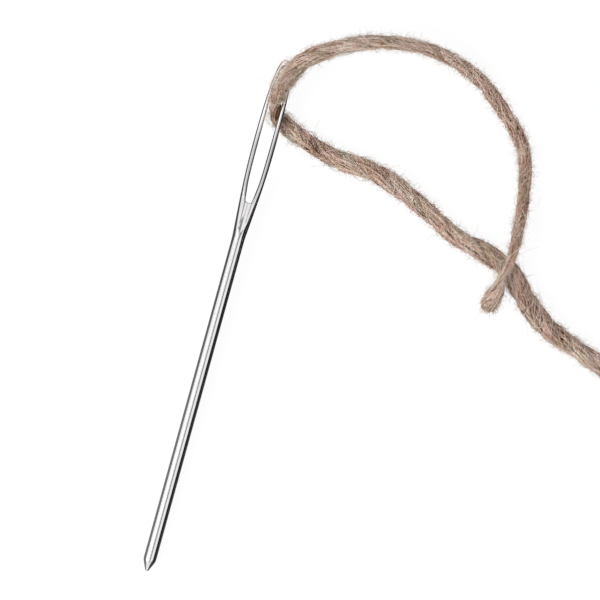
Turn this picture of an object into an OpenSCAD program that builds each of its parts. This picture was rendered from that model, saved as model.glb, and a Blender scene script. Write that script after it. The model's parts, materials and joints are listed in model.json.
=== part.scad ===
// Steel yarn needle with a long eye and a blunt point, threaded with a length of jute twine.
// The needle lies along Y with its eye towards +Y. Its point rests on the surface z = 0, and
// its eye is held up by the twine that passes under it.

/* [Needle] */
// Overall length, from the point to the outside of the arch
needle_l = 91.2; // [80:0.1:110]
// Diameter of the round shaft
shaft_d = 2.2; // [1.8:0.1:2.6]
// Length of the blunt cone at the point
point_l = 1.9; // [1:0.1:3]
// Diameter of the flat at the very end of the point
point_end_d = 0.5; // [0.3:0.1:0.9]

/* [Eye] */
// Clear length of the eye
eye_l = 24.3; // [18:0.1:30]
// Clear width of the eye
eye_w = 2.2; // [2.1:0.1:3]
// Width of each wire beside the eye
wire_w = 0.9; // [0.7:0.05:1.2]
// Thickness of the flattened metal round the eye
eye_t = 1.2; // [0.9:0.05:1.4]
// Metal left at the closed end of the eye
arch_w = 1.1; // [0.8:0.1:1.6]
// Length of the throat between the shaft and the eye
throat_l = 6.4; // [3:0.1:7]
// Length over which the head widens from the shaft
flare_l = 18; // [12:0.5:20]
// Length of the rounded outer end of the head
nose_l = 17.2; // [8:0.1:18]
// Length of the rounded end inside the eye
nose_in_l = 6.5; // [3:0.5:8]
// Radius of the rounding along the edges of the eye
eye_round = 0.25; // [0.1:0.05:0.3]
// Width of the thread gutter on the throat
gutter_w = 1.1; // [0.5:0.1:1.3]
// Depth of the thread gutter where it meets the eye
gutter_d = 0.45; // [0.2:0.05:0.6]

/* [Twine] */
// Diameter of the twine
twine_d = 3.5; // [2.8:0.1:3.8]
// Diameter of the twine where it is pinched in the eye
bight_d = 1.9; // [1.4:0.1:2]
// From the closed end of the eye to the middle of the twine in it
thread_back = 6.1; // [3:0.1:8]
// Height of the metal round the eye above the surface, where the twine goes through
eye_lift = 3.4; // [3.2:0.1:4]
// Play between the twine in the eye and what moves against it
play = 0.1; // [0.05:0.05:0.2]

/* [Coil] */
// Diameter of the coil at the middle of its turns
coil_mid_d = 38; // [32:1:44]
// Number of turns in the coil
coil_turns = 2.5; // [1.5:0.25:3]
// Gap between neighbouring turns
coil_gap = 0.5; // [0.45:0.05:1]
// Width of the band that ties the coil
tie_w = 2.4; // [1.5:0.1:4]
// Thickness of that band
tie_t = 0.35; // [0.25:0.05:0.4]
// Diameter of the knot on that band
tie_knot_d = 1.7; // [1:0.1:2.2]

/* [Hidden] */
$fn = 48;

STEEL = [0.80, 0.80, 0.82];
JUTE = [0.69, 0.57, 0.49];
COTTON = [0.86, 0.80, 0.70];

// Stations along the needle, measured from its point
shaft_r = shaft_d / 2;
eye_top = needle_l - arch_w;
eye_bottom = eye_top - eye_l;
head_y = eye_bottom - throat_l;
nose_y = needle_l - nose_l;
thread_y = eye_top - thread_back;
head_r = eye_w / 2 + wire_w;

// The needle is tilted so that its shaft touches the surface at the point, and the flat metal
// of the eye is eye_lift above it where the twine goes through.
tilt = asin((eye_lift + eye_t / 2 - shaft_r) / (thread_y - point_l));
shaft_up = shaft_r * cos(tilt) - point_l * sin(tilt);
mid_y = needle_l / 2 * cos(tilt);
swing_y = thread_y * cos(tilt) - mid_y;
bight_lo = eye_lift - 0.3;
bight_hi = eye_lift + eye_t + 0.3;

// Shape of the head
HALF_SIDES = 16;
SEAM_POINTS = 4;
THROAT_STEPS = 5;
EYE_STEPS = 6;
ARCH_STEPS = 4;
FORK_STATION = 4;
ARCH_STATION = 3 * EYE_STEPS - 4;
thin_l = 12;
eye_square = 2.3;
nose_square = 3;
eye_point_l = 7.2;
gutter_out_l = 4;
nose_end = 0.9999;
neck_r = shaft_r - 0.01;

// Shape of the twine
TUBE_SIDES = 8;
LOOP_SIDES = 6;
LOOP_RINGS = 24;
TUBE_STEPS = 2;
flat_share = cos(180 / TUBE_SIDES);
loop_flat_share = cos(180 / LOOP_SIDES);
twine_r = twine_d / 2;
bight_r = bight_d / 2;

// The coil winds inwards from where the run meets it. Places on the surface are measured from
// the axis of the twine in the eye.
coil_at = [90, -11];
coil_start = 251;
coil_pitch = twine_d + coil_gap;
coil_r = (coil_mid_d + coil_pitch * coil_turns) / 2;
coil_z = twine_r * loop_flat_share;
tie_ring = 7;
tie_pinch = 0.3;
pinch_spread = 18;

// Centre line of the loose end, from the eye: x, y, height, radius. A height of 0 stands for
// twine that lies on the surface.
TAIL = [
    [0, 0, bight_hi + play, bight_r],
    [0, 0, bight_hi + 0.6, bight_r],
    [0, 0.5, bight_hi + 1.4, 1.0],
    [0.3, 1.8, bight_hi + 2.0, 1.2],
    [0.9, 4.2, 7.2, 1.4],
    [2.7, 7.7, 7.2, 1.55],
    [7.1, 11.1, 7.1, 1.4],
    [13, 13.9, 6.8, 1.25],
    [19.8, 15.3, 5.6, 1.15],
    [26, 15.1, 3.8, 1.2],
    [33.2, 12.6, 2, 1.25],
    [39.6, 7.5, 0, 1.25],
    [43.4, 3, 0, 1.25],
    [45.3, -3.6, 1.6, 1.1],
    [46.1, -11, 3.6, 1.0],
    [46.1, -16.1, 4.6, 0.85],
    [45.4, -19.1, 4.2, 0.8],
    [45.3, -21.3, 3.4, 1.1],
    [44.7, -23.2, 2.6, 1.6],
    [44.7, -24.9, 1.9, 1.7],
];

// Centre line of the standing part, from the eye to the start of the coil
RUN = concat([
    [0, 0, bight_lo - play, bight_r],
    [0, 0, bight_lo - 0.4, bight_r],
    [0, -0.4, bight_lo - 1.05, 1.0],
    [0.2, -1.3, bight_lo - 1.6, 1.1],
    [1.1, -2.6, 0, 1.35],
    [2.8, -3.7, 0, 1.6],
    [5.6, -4.8, 0, 1.6],
    [9.4, -6.1, 0, 1.55],
    [13.3, -6.9, 0, 1.7],
    [19, -7.2, 0, twine_r],
    [24.6, -8.9, 0, twine_r],
    [30.4, -11.5, 0, twine_r],
    [36.2, -14.3, 0, twine_r],
    [42, -15.7, 0, twine_r],
    [46.8, -17.8, 0, twine_r],
    [50.8, -21.8, 0, twine_r],
    [55.3, -25.2, 0, twine_r],
    [60.6, -27.2, 0, twine_r],
    [65.8, -28.9, 0, twine_r],
    [72, -30.7, 0, twine_r],
], [
    concat(loop_at(0) - twine_d * loop_way(0), [0, twine_r]),
    concat(loop_at(0), [0, twine_r]),
]);

function lerp(a, b, u) = a + (b - a) * u;
function clamp(v, low, high) = min(max(v, low), high);
function smooth(u) = let (v = clamp(u, 0, 1)) v * v * (3 - 2 * v);
function unit(v) = v / norm(v);

// Half width of the head at a station, which closes in a rounded nose
function flare_half(y) = lerp(neck_r, head_r, sin(90 * clamp((y - head_y) / flare_l, 0, 1)));
function nose_share(y) = let (u = clamp((y - nose_y) / nose_l, 0, nose_end))
    pow(1 - pow(u, nose_square), 1 / nose_square);
function head_half(y) = flare_half(min(y, nose_y)) * nose_share(y);

// Half thickness, and how square the outline across the needle is: 2 for an ellipse
function thinning(y) = smooth((y - head_y) / thin_l);
function head_half_t(y) = lerp(neck_r, eye_t / 2, thinning(y)) * pow(nose_share(y), 0.2);
function head_square(y) = lerp(2, eye_square, thinning(y));

// Half width of the eye's clear outline: narrowed towards the shaft, rounded at the arch
function eye_half(y) = eye_w / 2 * (
    y < eye_bottom + eye_point_l
        ? sqrt(sin(90 * clamp((y - eye_bottom) / eye_point_l, 0, 1)))
        : sqrt(1 - pow(clamp((y - eye_top + nose_in_l) / nose_in_l, 0, 1), 2))
);

// Depth of the gutter on each face, at a distance x from the middle
function gutter_run(y) = smooth((y - head_y) / throat_l) * smooth((eye_bottom - y) / gutter_out_l + 1);
function gutter(x, y) = gutter_d * gutter_run(y) * exp(-pow(x / gutter_w * 2, 2));

// Half of the outline across the needle, from the top face round one side to the bottom face.
// It starts and ends at a distance x0 from the middle.
function half_across(y, x0, side) = let (
    w = head_half(y),
    t = head_half_t(y),
    q = 2 / head_square(y),
    from = acos(pow(x0 / w, 1 / q))
) [for (i = [0:HALF_SIDES]) let (
    a = from * (1 - 2 * i / HALF_SIDES),
    x = w * pow(cos(a), q),
    z = t * pow(abs(sin(a)), q) - gutter(x, y)
) [side * x, y, sign(sin(a)) * z]];

// A whole outline
function whole_across(y) = let (half = half_across(y, 0, -1)) concat(
    half_across(y, 0, 1),
    [for (i = [HALF_SIDES - 1:-1:1]) half[i]]
);

// The inner wall of one wire beside the eye, with rounded edges, from the bottom face up
function edge_round(y) = eye_round * smooth(eye_half(y) / eye_round);
function outer_across(y, side) = half_across(y, eye_half(y) + edge_round(y), side);
function wall_across(y, side) = let (
    edge = outer_across(y, side)[0].z,
    cut = 1 - cos(45),
    x = eye_half(y),
    x_cut = x + edge_round(y) * cut
) [
    [side * x_cut, y, eye_round * cut - edge],
    [side * x, y, eye_round - edge],
    [side * x, y, edge - eye_round],
    [side * x_cut, y, edge - eye_round * cut],
];
function wire_across(y, side) = concat(outer_across(y, side), wall_across(y, side));

throat_stations = [for (i = [0:THROAT_STEPS]) lerp(head_y, eye_bottom, i / THROAT_STEPS)];
eye_stations = concat(
    [for (i = [0:EYE_STEPS]) eye_bottom + eye_point_l * pow(i / EYE_STEPS, 2)],
    [for (i = [1:EYE_STEPS - 1]) lerp(eye_bottom + eye_point_l, eye_top - nose_in_l, i / EYE_STEPS)],
    [for (i = [0:EYE_STEPS]) eye_top - nose_in_l + nose_in_l * sin(90 * i / EYE_STEPS)]
);
arch_stations = [for (i = [0:ARCH_STEPS]) eye_top + arch_w * sin(90 * i / ARCH_STEPS)];

// Points of the coil's centre line, and the way it runs, at ring k
function loop_turn(k) = 360 * k / LOOP_RINGS;
function loop_r(k) = coil_r - coil_pitch * k / LOOP_RINGS;
function loop_at(k) = let (a = coil_start + loop_turn(k)) coil_at + loop_r(k) * [cos(a), sin(a)];
function loop_way(k) = unit(loop_at(k + 0.01) - loop_at(k - 0.01));
function from_tie(k) = let (d = (loop_turn(k - tie_ring) % 360 + 540) % 360 - 180) abs(d);
function loop_tube_r(k) = twine_r * (1 - tie_pinch * exp(-pow(from_tie(k) / pinch_spread, 2)));

// A smooth curve through hand-placed points, with steps parts between neighbours
function bend(a, b, c, d, u) = 0.5 * (
    2 * b + (c - a) * u + (2 * a - 5 * b + 4 * c - d) * u * u + (3 * b - a - 3 * c + d) * u * u * u
);
function through(p, steps) = let (n = len(p) - 1) concat(
    [for (i = [0:n - 1], s = [0:steps - 1])
        bend(p[max(i - 1, 0)], p[i], p[i + 1], p[min(i + 2, n)], s / steps)],
    [p[n]]
);
function resting(p, share) = [p.x, p.y, max(p.z, p[3] * share)];
function way(line, i) = unit(line[min(i + 1, len(line) - 1)] - line[max(i - 1, 0)]);

// Level direction square to the line; where the line stands upright, the next point's is used
function beside(line, i) = let (w = way(line, i), flat = norm([w.x, w.y]))
    flat > 0.05 || i == len(line) - 1 ? [w.y, -w.x, 0] / flat : beside(line, i + 1);
function round_ring(at, side, w, r, sides) = let (up = cross(side, w)) [
    for (j = [0:sides - 1])
        let (a = 360 * (j + 0.5) / sides - 90)
        at + r * (cos(a) * side + sin(a) * up)
];
function tube_rings(route) = let (
    p = through(route, TUBE_STEPS),
    line = [for (q = p) resting(q, flat_share)]
) [for (i = [0:len(p) - 1])
    round_ring(line[i], beside(line, i), way(line, i), p[i][3], TUBE_SIDES)];
function coil_rings() = [for (k = [0:LOOP_RINGS * coil_turns])
    let (at = loop_at(k), w = loop_way(k))
    round_ring([at.x, at.y, coil_z], [w.y, -w.x, 0], [w.x, w.y, 0], loop_tube_r(k), LOOP_SIDES)];

// Least gap between one turn of the coil and the next, measured on the points of its surface
function least_gap(rings) = min([
    for (i = [0:len(rings) - 1], j = [i + LOOP_RINGS / 2:1:len(rings) - 1], a = rings[i], b = rings[j])
        norm(a - b)
]);
echo(coil_least_gap = least_gap(coil_rings()));

// Faces between neighbouring outlines of n points, where at(i, j) is the index of point j of
// outline i
function bands(rings, n, at) = [
    for (i = [0:rings - 2], j = [0:n - 1], half = [0, 1])
        let (k = (j + 1) % n)
        half == 0 ? [at(i, j), at(i, k), at(i + 1, j)] : [at(i, k), at(i + 1, k), at(i + 1, j)]
];
function backwards(list) = [for (i = [len(list) - 1:-1:0]) list[i]];
function turned(faces) = [for (f = faces) backwards(f)];
function part_of(list, first, last) = [for (i = [first:last]) list[i]];
function flat_list(rings) = [for (r = rings, p = r) p];

// A closed skin over a row of outlines that have the same number of points
module skin(rings) {
    n = len(rings[0]);
    count = len(rings);
    polyhedron(
        points = flat_list(rings),
        faces = concat(
            [[for (j = [n - 1:-1:0]) j]],
            bands(count, n, function (i, j) i * n + j),
            [[for (j = [0:n - 1]) (count - 1) * n + j]]
        )
    );
}

// Puts what is drawn along the needle, from its point, in its place
module laid() {
    color(STEEL)
        translate([0, -mid_y, shaft_up])
            rotate([tilt, 0, 0])
                children();
}

module needle_shaft() {
    laid()
        rotate([-90, 0, 0])
            rotate_extrude()
                polygon([[0, 0], [point_end_d / 2, 0], [shaft_r, point_l], [shaft_r, head_y], [0, head_y]]);
}

// Metal that is whole at one end and splits into two wires at the other. At the split the wires
// share the points of the last whole outline, and their walls share a seam.
module forked(wholes, splits, flipped) {
    n = 2 * HALF_SIDES;
    m = HALF_SIDES + 1 + SEAM_POINTS;
    root = (len(wholes) - 1) * n;
    seam = root + n;
    last = len(splits) - 1;
    wires = [for (side = [1, -1], i = [1:last]) wire_across(splits[i], side)];
    whole = function (j, side) side > 0 || j % HALF_SIDES == 0 ? j : n - j;
    wire_at = function (i, j, side)
        i > 0 ? seam + SEAM_POINTS + ((side > 0 ? 0 : last) + i - 1) * m + j
        : j <= HALF_SIDES ? root + whole(j, side) : seam + j - HALF_SIDES - 1;
    faces = concat(
        [[for (j = [0:n - 1]) j]],
        turned(bands(len(wholes), n, function (i, j) i * n + j)),
        turned(bands(last + 1, m, function (i, j) wire_at(i, j, 1))),
        bands(last + 1, m, function (i, j) wire_at(i, j, -1)),
        [[for (j = [m - 1:-1:0]) wire_at(last, j, 1)]],
        [[for (j = [0:m - 1]) wire_at(last, j, -1)]]
    );
    polyhedron(
        points = flat_list(concat([for (y = wholes) whole_across(y)], [wall_across(splits[0], 0)], wires)),
        faces = flipped ? turned(faces) : faces
    );
}

module needle_throat() {
    laid()
        forked(throat_stations, part_of(eye_stations, 0, FORK_STATION), false);
}

// One wire beside the eye: side is 1 or -1
module eye_wire(side) {
    rings = [for (y = part_of(eye_stations, FORK_STATION, ARCH_STATION)) wire_across(y, side)];
    laid()
        skin([for (r = rings) side > 0 ? backwards(r) : r]);
}
module eye_wire_right() {
    eye_wire(1);
}
module eye_wire_left() {
    eye_wire(-1);
}

module eye_arch() {
    arch = part_of(eye_stations, ARCH_STATION, len(eye_stations) - 1);
    laid()
        forked(backwards(arch_stations), backwards(arch), true);
}

module twine_tail() {
    color(JUTE)
        translate([0, swing_y, 0])
            skin(tube_rings(TAIL));
}

module twine_bight() {
    color(JUTE)
        translate([0, swing_y, bight_lo])
            cylinder(r = bight_r, h = bight_hi - bight_lo);
}

module twine_run() {
    color(JUTE)
        translate([0, swing_y, 0])
            skin(tube_rings(RUN));
}

module twine_coil() {
    color(JUTE)
        translate([0, swing_y, 0])
            skin(coil_rings());
}

// A flat band round the turns of the coil, with its knot on top
module coil_tie() {
    tube_r = loop_tube_r(tie_ring);
    half_h = tube_r * loop_flat_share + play;
    near = loop_r(tie_ring + 2 * LOOP_RINGS) - tube_r - play;
    far = loop_r(tie_ring) + tube_r + play;
    color(COTTON)
        translate([coil_at.x, coil_at.y + swing_y, coil_z])
            rotate([0, 0, coil_start + loop_turn(tie_ring)])
                union() {
                    rotate([90, 0, 0])
                        linear_extrude(height = tie_w, center = true)
                            difference() {
                                rounded_box([near - tie_t, -half_h - tie_t], [far + tie_t, half_h + tie_t], 1);
                                rounded_box([near, -half_h], [far, half_h], 1 - tie_t);
                            }
                    translate([(near + far) / 2, 0, half_h + tie_t + tie_knot_d * 0.3])
                        sphere(d = tie_knot_d);
                }
}

module rounded_box(low, high, r) {
    translate([low.x + r, low.y])
        square([high.x - low.x - 2 * r, high.y - low.y]);
    translate([low.x, low.y + r])
        square([high.x - low.x, high.y - low.y - 2 * r]);
    for (x = [low.x + r, high.x - r], y = [low.y + r, high.y - r])
        translate([x, y])
            circle(r = r);
}

needle_shaft();
needle_throat();
eye_wire_right();
eye_wire_left();
eye_arch();
twine_tail();
twine_bight();
twine_run();
twine_coil();
coil_tie();
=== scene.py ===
# %% [markdown]
# # A yarn needle threaded with jute twine
# A blunt steel yarn needle lies on a pale table with a length of hairy two-ply twine through its
# eye. The needle is one polished wire, and the twine is hundreds of flat, dry fibres twisted
# together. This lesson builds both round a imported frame, which already fixes every size.

# %% Load the frame
import json
import math

import bmesh
import bpy
import numpy as np
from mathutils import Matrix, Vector


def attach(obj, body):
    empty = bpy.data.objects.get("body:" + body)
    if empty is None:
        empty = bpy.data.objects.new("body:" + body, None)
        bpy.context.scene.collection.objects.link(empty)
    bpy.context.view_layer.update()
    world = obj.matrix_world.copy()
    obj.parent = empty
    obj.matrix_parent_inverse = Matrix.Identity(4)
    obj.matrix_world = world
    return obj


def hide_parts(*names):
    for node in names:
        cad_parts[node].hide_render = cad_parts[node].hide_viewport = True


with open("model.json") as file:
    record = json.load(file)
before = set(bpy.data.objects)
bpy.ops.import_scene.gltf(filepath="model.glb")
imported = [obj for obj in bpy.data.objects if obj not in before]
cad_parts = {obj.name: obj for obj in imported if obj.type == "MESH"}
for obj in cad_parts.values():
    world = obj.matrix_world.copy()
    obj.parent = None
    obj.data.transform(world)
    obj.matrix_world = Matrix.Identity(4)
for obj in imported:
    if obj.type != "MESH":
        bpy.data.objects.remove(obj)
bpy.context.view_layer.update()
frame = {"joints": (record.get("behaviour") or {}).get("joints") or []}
MM = 0.001

# %% [markdown]
# ## The camera
# The needle was seen from straight above, and it leans a little to the right in the picture. A
# long lens far above the table gives that flat view, and rolling the camera gives the lean.

# %% The camera above the table
PICTURE_WIDTH = 0.10325
PICTURE_CENTRE = (0.01305, 0.00646)
NEEDLE_LEAN = math.radians(15.45)
CAMERA_HEIGHT = 1.0
SENSOR = 36.0
TWINE_TOP = 0.003

bpy.ops.object.camera_add(location=(*PICTURE_CENTRE, CAMERA_HEIGHT), rotation=(0, 0, NEEDLE_LEAN))
camera = bpy.context.object
camera.data.sensor_width = SENSOR
camera.data.lens = SENSOR * (CAMERA_HEIGHT - TWINE_TOP) / PICTURE_WIDTH
camera.data.dof.use_dof = False
bpy.context.scene.camera = camera
print("lens", round(camera.data.lens), "mm")

# %% [markdown]
# ## The way the twine lies
# One piece of twine comes out of a small coil, runs under one wire of the eye, turns up through
# the eye, and curls back over itself to a frayed end. Its route is a short list of points, each
# with the twine's radius there. A height of zero stands for twine that lies on the table.

# %% Routes of the loose end and the standing part
EYE_AXIS = Vector(frame["joints"][0]["pos_m"])
TWINE_D = 0.0035
TWINE_R = TWINE_D / 2
FLAT_SHARE = 0.924

TAIL_ROUTE = [
    (0, 0, 0.0050, 0.00095),
    (0, 0, 0.0055, 0.00105),
    (0, 0.0005, 0.0063, 0.0012),
    (0.0003, 0.0018, 0.0069, 0.0013),
    (0.0009, 0.0042, 0.0072, 0.0014),
    (0.0027, 0.0077, 0.0072, 0.00165),
    (0.0071, 0.0111, 0.0071, 0.0014),
    (0.0130, 0.0139, 0.0068, 0.0013),
    (0.0198, 0.0153, 0.0056, 0.00115),
    (0.0260, 0.0151, 0.0038, 0.0012),
    (0.0332, 0.0126, 0.0020, 0.00125),
    (0.0396, 0.0075, 0, 0.00125),
    (0.0434, 0.0030, 0, 0.00125),
    (0.0453, -0.0036, 0.0016, 0.0011),
    (0.0461, -0.0110, 0.0036, 0.0010),
    (0.0461, -0.0161, 0.0046, 0.00075),
    (0.0454, -0.0191, 0.0042, 0.00068),
    (0.0453, -0.0213, 0.0034, 0.0013),
    (0.0447, -0.0232, 0.0026, 0.0018),
    (0.0447, -0.0249, 0.0019, 0.0011),
]
RUN_ROUTE = [
    (0, 0, 0.0030, 0.00095),
    (0, 0, 0.0027, 0.00095),
    (0, -0.0004, 0.00205, 0.0010),
    (0.0002, -0.0013, 0.0015, 0.00125),
    (0.0011, -0.0026, 0, 0.0015),
    (0.0028, -0.0037, 0, 0.0016),
    (0.0056, -0.0048, 0, 0.0016),
    (0.0094, -0.0061, 0, 0.00155),
    (0.0133, -0.0069, 0, 0.0018),
    (0.0190, -0.0072, 0, TWINE_R),
    (0.0246, -0.0089, 0, TWINE_R),
    (0.0304, -0.0115, 0, 0.0016),
    (0.0362, -0.0143, 0, 0.0016),
    (0.0420, -0.0157, 0, 0.00185),
    (0.0468, -0.0178, 0, 0.0019),
    (0.0508, -0.0218, 0, 0.0019),
    (0.0553, -0.0252, 0, 0.0019),
    (0.0606, -0.0272, 0, 0.00165),
    (0.0658, -0.0289, 0, TWINE_R),
    (0.0720, -0.0307, 0, TWINE_R),
]
COIL_MIDDLE = (0.090, -0.011)
COIL_START = math.radians(251)
COIL_TURNS = 2.5
COIL_PITCH = 0.0040
COIL_R = (0.038 + COIL_PITCH * COIL_TURNS) / 2
COIL_STEP = math.radians(7.5)
TIE_TURN = math.radians(105)
TIE_PINCH = 0.3
PINCH_SPREAD = math.radians(18)


def coil_point(turned):
    """Where the coil's centre line is after it has turned by an angle, with the twine's radius."""
    r = COIL_R - COIL_PITCH * turned / math.tau
    a = COIL_START + turned
    off = (turned - TIE_TURN + math.pi) % math.tau - math.pi
    pinch = 1 - TIE_PINCH * math.exp(-((off / PINCH_SPREAD) ** 2))
    return (COIL_MIDDLE[0] + r * math.cos(a), COIL_MIDDLE[1] + r * math.sin(a), 0, TWINE_R * pinch)


coil_count = round(COIL_TURNS * math.tau / COIL_STEP)
RUN_ROUTE += [coil_point(i * COIL_STEP) for i in range(coil_count + 1)]
print(len(TAIL_ROUTE), "points for the loose end,", len(RUN_ROUTE), "for the run and the coil")

# %% [markdown]
# A smooth curve goes through the points, and every quarter of a millimetre along it the twine
# needs three directions: along itself, and two across. They are carried along without turning,
# so that the twist which comes next is the only twist there is.

# %% A smooth line with directions across it
LINE_STEP = 0.00025
LINE_SIDEWAYS = (0.0, 1.0, 0.3)


def curve_through(points, parts=24):
    """Points of a Catmull-Rom curve through the given ones."""
    p = np.array(points, float)
    n = len(p) - 1
    u = np.linspace(0, 1, parts, endpoint=False)[:, None]
    rows = []
    for i in range(n):
        a, b, c, d = p[max(i - 1, 0)], p[i], p[i + 1], p[min(i + 2, n)]
        rows.append(0.5 * (2 * b + (c - a) * u + (2 * a - 5 * b + 4 * c - d) * u**2
                           + (3 * b - a - 3 * c + d) * u**3))
    return np.concatenate([*rows, p[-1:]])


def unit(v):
    return v / np.maximum(np.linalg.norm(v, axis=-1, keepdims=True), 1e-12)


def distances(p):
    """How far along a curve each of its points is."""
    return np.concatenate([[0], np.cumsum(np.linalg.norm(np.diff(p[:, :3], axis=0), axis=1))])


def resampled(p, run, s):
    """A curve's columns, known at the distances run, at the distances s."""
    return np.stack([np.interp(s, run, column) for column in p.T], 1)


def carried(at, sideways):
    """The way along a line, and two directions across it that are carried along unturned."""
    way = unit(np.gradient(at, axis=0))
    side = np.zeros_like(at)
    side[0] = unit(np.cross(sideways, way[0]))
    for i in range(1, len(side)):
        side[i] = unit(side[i - 1] - way[i] * (side[i - 1] @ way[i]))
    return way, side, np.cross(way, side)


def keep_above(at, lowest):
    """Lifts points that are lower than a height above the table."""
    at[..., 2] = np.maximum(at[..., 2], lowest)


class Line:
    """A centre line cut into equal steps, with the twine's radius and two directions across it."""

    def __init__(self, route, tone_and_shade=((0, 0),)):
        p = curve_through(route)
        keep_above(p, p[:, 3] * FLAT_SHARE)
        p[:, :3] += np.array(EYE_AXIS)
        run = distances(p)
        self.length = float(run[-1])
        self.s = np.linspace(0, self.length, int(self.length / LINE_STEP) + 1)
        p = resampled(p, run, self.s)
        self.at, self.radius = p[:, :3], p[:, 3]
        self.way, self.side, self.up = carried(self.at, LINE_SIDEWAYS)
        # Paler or darker stretches along the line; some are painted shade.
        self.tone_and_shade = lambda s: np.interp(s, *zip(*tone_and_shade))

    def pick(self, s):
        """Place, the two directions across, the way along and the radius at distances s."""
        i = np.clip(np.rint(s / self.length * (len(self.s) - 1)).astype(int), 0, len(self.s) - 1)
        return self.at[i], self.side[i], self.up[i], self.way[i], self.radius[i]


# Stretches made paler or darker; the run's darker start, under the wire, is painted shade.
TAIL_PALE = ((0, -0.15), (0.004, -0.1), (0.009, 0.17), (0.034, 0.17), (0.042, -0.08),
             (0.074, -0.08), (0.080, 0))
RUN_TONE_AND_SHADE = ((0, -0.4), (0.002, -0.3), (0.005, 0), (0.022, 0), (0.030, 0.25), (0.042, 0.25),
            (0.048, 0), (0.056, -0.05))
tail_line = Line(TAIL_ROUTE, TAIL_PALE)
run_line = Line(RUN_ROUTE, RUN_TONE_AND_SHADE)
print("loose end", round(tail_line.length, 4), "m, run and coil", round(run_line.length, 4), "m")

# %% [markdown]
# ## Studio light for polished steel
# Polished steel shows its surroundings more than itself. In a bright studio the middle of the
# wire mirrors the white ceiling, and its two rims mirror what is below the horizon, which is
# darker. Light Path tells which kind of ray looks at the floor, so the same floor can be white
# to the camera, pale to the bounced light, and dark to the mirror of the steel. What the mirror
# sees there is a painted reflection, a dim glow in place of the floor: a little brighter on the
# left, darker to the right of the needle as a painted shadow of it, and darker at the far end.

# %% The table top
FLOOR_SIDE = 4.0
WHITE, PAPER, SEEN_PAPER = (1, 1, 1, 1), (0.8, 0.8, 0.8, 1), (0.08, 0.08, 0.08, 1)
SEEN_GLOW = 0.94


def empty_tree(owner):
    """The node tree of a material or a world, with nothing in it yet."""
    owner.use_nodes = True
    owner.node_tree.nodes.clear()
    return owner.node_tree


def new_finish(name):
    made = bpy.data.materials.new(name)
    return made, empty_tree(made)


def add_node(tree, kind, *numbered, settings=None, **named):
    """Adds a node. Its sockets, by number or by name, get a value, an output or a node's first
    output. An underscore in a name stands for a space."""
    made = tree.nodes.new("ShaderNode" + kind)
    for name, value in (settings or {}).items():
        setattr(made, name, value)
    by_name = {name.replace("_", " "): value for name, value in named.items()}
    for key, value in [*enumerate(numbered), *by_name.items()]:
        if isinstance(value, bpy.types.Node):
            value = value.outputs[0]
        if isinstance(value, bpy.types.NodeSocket):
            tree.links.new(value, made.inputs[key])
        else:
            made.inputs[key].default_value = value
    return made


def ranged(tree, value, old, new):
    """Turns one range of a value into another."""
    return add_node(tree, "MapRange", Value=value, From_Min=old[0], From_Max=old[1],
                    To_Min=new[0], To_Max=new[1])


def computed(tree, operation, *values):
    """One step of arithmetic on nodes and numbers."""
    return add_node(tree, "Math", *values, settings={"operation": operation})


def split_place(tree, kind):
    """The X, Y and Z of a texture coordinate."""
    place = add_node(tree, "TexCoord").outputs[kind]
    return add_node(tree, "SeparateXYZ", place).outputs


floor_finish, tree = new_finish("table_top")
ray, place = add_node(tree, "LightPath").outputs, split_place(tree, "Object")
# Painted reflection: the mirror sees a dim glow, with a painted shadow right of the needle.
painted_shadow_across = ranged(tree, place["X"], (-0.004, 0.004), (0.22, 0.045))
painted_dimming_far_end = ranged(tree, place["Y"], (-0.02, 0.015), (1.0, 0.4))
mirrored = add_node(tree, "Emission", Strength=computed(tree, "MULTIPLY", painted_shadow_across, painted_dimming_far_end))
paper = add_node(tree, "BsdfDiffuse", PAPER)
seen = add_node(tree, "AddShader", add_node(tree, "BsdfDiffuse", SEEN_PAPER),
                add_node(tree, "Emission", WHITE, SEEN_GLOW))
for_camera = add_node(tree, "MixShader", ray["Is Camera Ray"], paper, seen)
for_mirror = add_node(tree, "MixShader", ray["Is Glossy Ray"], for_camera, mirrored)
add_node(tree, "OutputMaterial", for_mirror)

bpy.ops.mesh.primitive_plane_add(size=FLOOR_SIDE)
floor = bpy.context.object
floor.name = "table_top"
floor.data.materials.append(floor_finish)
print("table", FLOOR_SIDE, "m wide, its finish", len(tree.nodes), "nodes")

# %% [markdown]
# The room is a plain white world. It gives most of the soft light, and one large lamp on the
# lower left side gives the twine its lighter and darker side. For the mirror of the steel alone,
# the walls are darker than the ceiling, most of all on the right. They are brighter behind the
# two ends of the needle, or it would look black from there. A grey card draws the thin grey line
# along the needle.

# %% The room, the lamp and the grey card
ROOM_LIGHT = 0.56
ROOM_MIRRORED = 1.1
WALL_TOP, WALL_SOFT, WALL_LEAN = 0.355, 0.04, 0.16
WALL_LEFT, WALL_RIGHT, WALL_ENDS = 0.14, 0.01, 0.45
LAMP_AT = Vector((-0.75, -0.55, 0.95))
LAMP_SIDE = 0.7
LAMP_POWER = 13.0
CARD_AWAY = 1.2
CARD_ANGLE = math.radians(9)
CARD_WIDTH, CARD_LENGTH = 0.42, 3.0
CARD_GREY, CARD_GLOW = (1, 0.99, 0.99, 1), 0.33

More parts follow.
